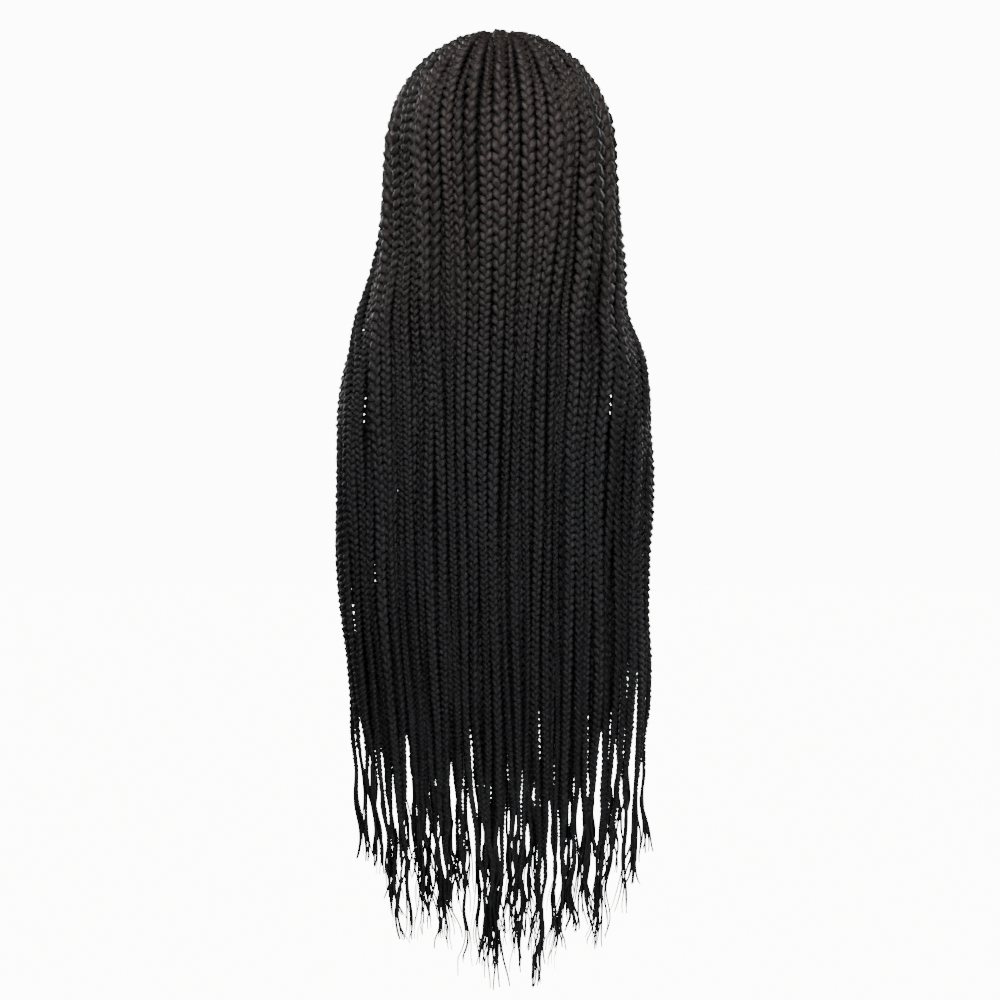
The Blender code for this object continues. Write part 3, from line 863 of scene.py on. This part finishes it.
fibre = braiding_fibre()
for number in range(-OUTER_PER_SIDE, OUTER_PER_SIDE + 1):
    side_name = "left" if number > 0 else "right"
    node = f"{side_name}_braid_{abs(number):02d}" if number else "centre_braid"
    aside = abs(number) / OUTER_PER_SIDE
    mesh = plait_mesh(
        f"{node}_plait",
        outer_stations(number),
        sink=SINK * (1 - ramp(aside, *ON_TOP_FROM)),
        bulk=mix(OUTER_BULK, SIDE_BULK, ramp(aside, *SIDE_FROM)),
        seed=OUTER_SEED + number,
        roundness=1,
        steps_per_turn=8,
        strays=45,
        wisps=5,
    )
    new_piece(f"{node}_plait", mesh, fibre, [node])

# Wefts underneath
# Two layers of further braids give the wig its body. They are sewn side by side to narrow woven bands,
# and each band is stitched to the cap round the head.
BAND_END = 0.4  # how far the band runs past the middles of its first and last braids, in braids
BAND_STEPS = 4  # to a braid
BAND_HEIGHT = 0.006
BAND_WALL = 0.0012
BAND_BUMP = 0.0003
INNER_TIP_RISE = 0.02  # shares of the fall by which these braids are shorter
INNER_BULK = 1.52  # they swell into the room behind the top layer
BAND_RIB = 0.0007
BAND_BLACK = "#161414"
BAND_THREAD = "#2c2927"

Layer = namedtuple("Layer", "name level per_side reach start wefts_per_side roundness steps_per_turn seed")
# level is 0 next to the cap and 1 on top, reach is a share of the lanes from the middle of the back, and
# start is a share of the way down the head.
INNER_LAYERS = [
    Layer("middle", 0.5, 15, 0.93, 0.76, 3, 1, 6, 2000),
    Layer("nape", 0.0, 10, 0.76, 0.93, 2, 0, 7, 1000),
]


def inner_stations(layer, number):
    """The stations of the inner layer's braid of this number, counted from the middle of the back."""
    lane_step = layer.reach / layer.per_side
    lane = math.copysign((abs(number) - 0.5) * lane_step, number)
    full = hang_station(lane, layer.level, lane_step, 0.0, 1.0)
    stations = []
    for share in (0.0, 0.25, 0.5, 0.75):
        down = mix(layer.start, 1.0, share)
        stations.append(
            head_station(lane, layer.level, down, full, share, mix(ROOT_SHARE, 1.0, share))
        )
    return stations + hanging_stations(lane, layer.level, lane_step, tip_fall(lane) - INNER_TIP_RISE)


def band_bmesh(layer, side, first, last):
    """A flat band along the cap from beside the weft's first braid to beside its last."""
    lane_step = layer.reach / layer.per_side
    count = BAND_STEPS * (last - first + 1)
    rings = []
    for i in range(count + 1):
        lane = side * mix(first - 0.5 - BAND_END, last - 0.5 + BAND_END, i / count) * lane_step
        full = hang_station(lane, layer.level, lane_step, 0.0, 1.0)
        direction = head_direction(lane, full, layer.start)
        rings.append(head_point(direction, 0.0, BAND_WALL / 2 + SEAT_GAP, 0.0))
    placed = []
    for i, (point, outward) in enumerate(rings):
        run = rings[min(i + 1, count)][0] - rings[max(i - 1, 0)][0]
        up = run.cross(outward).normalized()
        matrix = Matrix((up, outward, outward.cross(up))).transposed().to_4x4()
        matrix.translation = point
        placed.append(matrix @ Matrix.Diagonal((BAND_HEIGHT / math.sqrt(2), BAND_WALL / math.sqrt(2), 1, 1)))
    bm = bmesh.new()
    turned = placed[0] @ Matrix.Rotation(math.pi / 4, 4, "Z")
    bmesh.ops.create_circle(bm, cap_ends=False, segments=4, radius=1, matrix=turned)
    edges = list(bm.edges)
    bmesh.ops.contextual_create(bm, geom=edges)
    for before, now in zip(placed, placed[1:]):
        made = bmesh.ops.extrude_edge_only(bm, edges=edges)["geom"]
        ring = [g for g in made if isinstance(g, bmesh.types.BMVert)]
        edges = [g for g in made if isinstance(g, bmesh.types.BMEdge)]
        bmesh.ops.transform(bm, matrix=now @ before.inverted(), verts=ring)
    bmesh.ops.contextual_create(bm, geom=edges)
    bmesh.ops.recalc_face_normals(bm, faces=bm.faces)
    return bm


def woven_band():
    """Woven polyester tape: fine ribs across it, matt."""
    made = start_material("woven_band")
    where = add_node(made, "ShaderNodeTexCoord").outputs["Object"]
    ribs = add_node(
        made, "ShaderNodeTexNoise", {"Scale": 1 / BAND_RIB, "Detail": 1.0}, {"Vector": where}
    ).outputs["Fac"]
    colour = add_node(
        made, "ShaderNodeValToRGB", links={"Fac": ribs}, stops=((0.35, BAND_BLACK), (0.7, BAND_THREAD))
    ).outputs["Color"]
    bump = add_node(
        made, "ShaderNodeBump", {"Strength": 0.5, "Distance": BAND_BUMP}, {"Height": ribs}
    ).outputs["Normal"]
    shader = add_node(
        made,
        "ShaderNodeBsdfPrincipled",
        {"Roughness": 0.8, "IOR": 1.55},
        {"Base Color": colour, "Normal": bump},
    ).outputs["BSDF"]
    add_node(made, "ShaderNodeOutputMaterial", links={"Surface": shader})
    return made


tape = woven_band()
for layer in INNER_LAYERS:
    for side, side_name in ((1, "left"), (-1, "right")):
        for weft in range(layer.wefts_per_side):
            first = 1 + layer.per_side * weft // layer.wefts_per_side
            last = layer.per_side * (weft + 1) // layer.wefts_per_side
            node = f"{side_name}_{layer.name}_weft_{weft + 1}"
            joined = band_bmesh(layer, side, first, last)
            for face in joined.faces:
                face.material_index = 1
            for number in range(first, last + 1):
                plait = plait_mesh(
                    f"{node}_{number:02d}",
                    inner_stations(layer, side * number),
                    sink=0.0,
                    bulk=INNER_BULK,
                    seed=layer.seed + 100 * side + number,
                    roundness=layer.roundness,
                    steps_per_turn=layer.steps_per_turn,
                    strays=0,
                    wisps=4,
                )
                joined.from_mesh(plait)
                bpy.data.meshes.remove(plait)
            mesh = bpy.data.meshes.new(f"{node}_plaits")
            joined.to_mesh(mesh)
            joined.free()
            new_piece(f"{node}_plaits", mesh, fibre, [node])
            mesh.materials.append(tape)

# Studio
# A pale floor under the hanging tips, white surroundings and soft lamps: one above the crown, two on the
# camera's side, and one to each side of the face opening.
FLOOR_DROP = 1.15
FLOOR_REACH = 60.0
PAINT_GRAIN = 0.025
PALE = "#f1f0ee"
PALE_SHADE = "#efeeec"
CAMERA_AWAY = 8.13
CAMERA_HEIGHT = -0.447
CAMERA_LENS = 297.5
FLOOR_GLOW = 14.2  # seen by the camera alone, so that the floor is as pale as the studio
STUDIO_WHITE = 12.0  # what the camera sees of the surroundings
STUDIO_DIM = 0.02  # what they light the hair with
LAMP_SPREAD = math.radians(60)


def pale_floor():
    """Matt painted floor."""
    made = start_material("matt_floor_paint")
    where = add_node(made, "ShaderNodeTexCoord").outputs["Object"]
    grain = add_node(
        made, "ShaderNodeTexNoise", {"Scale": 1 / PAINT_GRAIN, "Detail": 3.0}, {"Vector": where}
    ).outputs["Fac"]
    colour = add_node(
        made, "ShaderNodeValToRGB", links={"Fac": grain}, stops=((0.3, PALE_SHADE), (0.7, PALE))
    ).outputs["Color"]
    seen = add_node(made, "ShaderNodeLightPath").outputs["Is Camera Ray"]
    glow = add_node(made, "ShaderNodeMapRange", {"To Max": FLOOR_GLOW}, {"Value": seen}).outputs["Result"]
    shader = add_node(
        made,
        "ShaderNodeBsdfPrincipled",
        {"Roughness": 0.9, "Emission Color": linear(PALE)},
        {"Base Color": colour, "Emission Strength": glow},
    ).outputs["BSDF"]
    add_node(made, "ShaderNodeOutputMaterial", links={"Surface": shader})
    return made


ground = bmesh.new()
bmesh.ops.create_grid(ground, x_segments=1, y_segments=1, size=FLOOR_REACH)
bmesh.ops.translate(ground, verts=ground.verts, vec=(0, 0, -FLOOR_DROP))
floor_mesh = bpy.data.meshes.new("floor")
ground.to_mesh(floor_mesh)
ground.free()
floor = bpy.data.objects.new("floor", floor_mesh)
bpy.context.scene.collection.objects.link(floor)
floor_mesh.materials.append(pale_floor())


def add_lamp(name, place, target, size, power):
    lamp = bpy.data.lights.new(name, "AREA")
    lamp.shape = "DISK"
    lamp.size = size
    lamp.energy = power
    lamp.spread = LAMP_SPREAD
    holder = bpy.data.objects.new(name, lamp)
    bpy.context.scene.collection.objects.link(holder)
    holder.location = place
    holder.rotation_euler = (Vector(target) - Vector(place)).to_track_quat("-Z", "Y").to_euler()


add_lamp("crown_lamp", place=(0.10, 1.15, 0.80), target=(0.0, 0.08, 0.02), size=0.6, power=4.2)
add_lamp("side_lamp", place=(1.7, 2.0, 0.9), target=(0.0, 0.05, -0.05), size=1.2, power=2.6)
add_lamp("camera_lamp", place=(-1.5, 2.6, -1.0), target=(0.0, 0.1, -1.25), size=1.4, power=13.0)
add_lamp("left_lamp", place=(1.7, -2.2, 0.5), target=(0.0, 0.0, -0.40), size=1.4, power=6.5)
add_lamp("right_lamp", place=(-1.9, -2.0, 0.4), target=(0.0, 0.0, -0.40), size=1.4, power=5.0)

world = bpy.data.worlds.new("studio")
bpy.context.scene.world = world
world.use_nodes = True
world.node_tree.nodes.clear()
ray = add_node(world, "ShaderNodeLightPath").outputs["Is Camera Ray"]
strength = add_node(
    world, "ShaderNodeMapRange", {"To Min": STUDIO_DIM, "To Max": STUDIO_WHITE}, {"Value": ray}
).outputs["Result"]
sky = add_node(world, "ShaderNodeBackground", {"Color": (1.0, 1.0, 1.0, 1.0)}, {"Strength": strength})
add_node(world, "ShaderNodeOutputWorld", links={"Surface": sky.outputs["Background"]})

camera_data = bpy.data.cameras.new("camera")
camera_data.lens = CAMERA_LENS
camera = bpy.data.objects.new("camera", camera_data)
bpy.context.scene.collection.objects.link(camera)
camera.location = (0.0, CAMERA_AWAY, CAMERA_HEIGHT)
camera.rotation_euler = (math.pi / 2, 0.0, math.pi)
bpy.context.scene.camera = camera
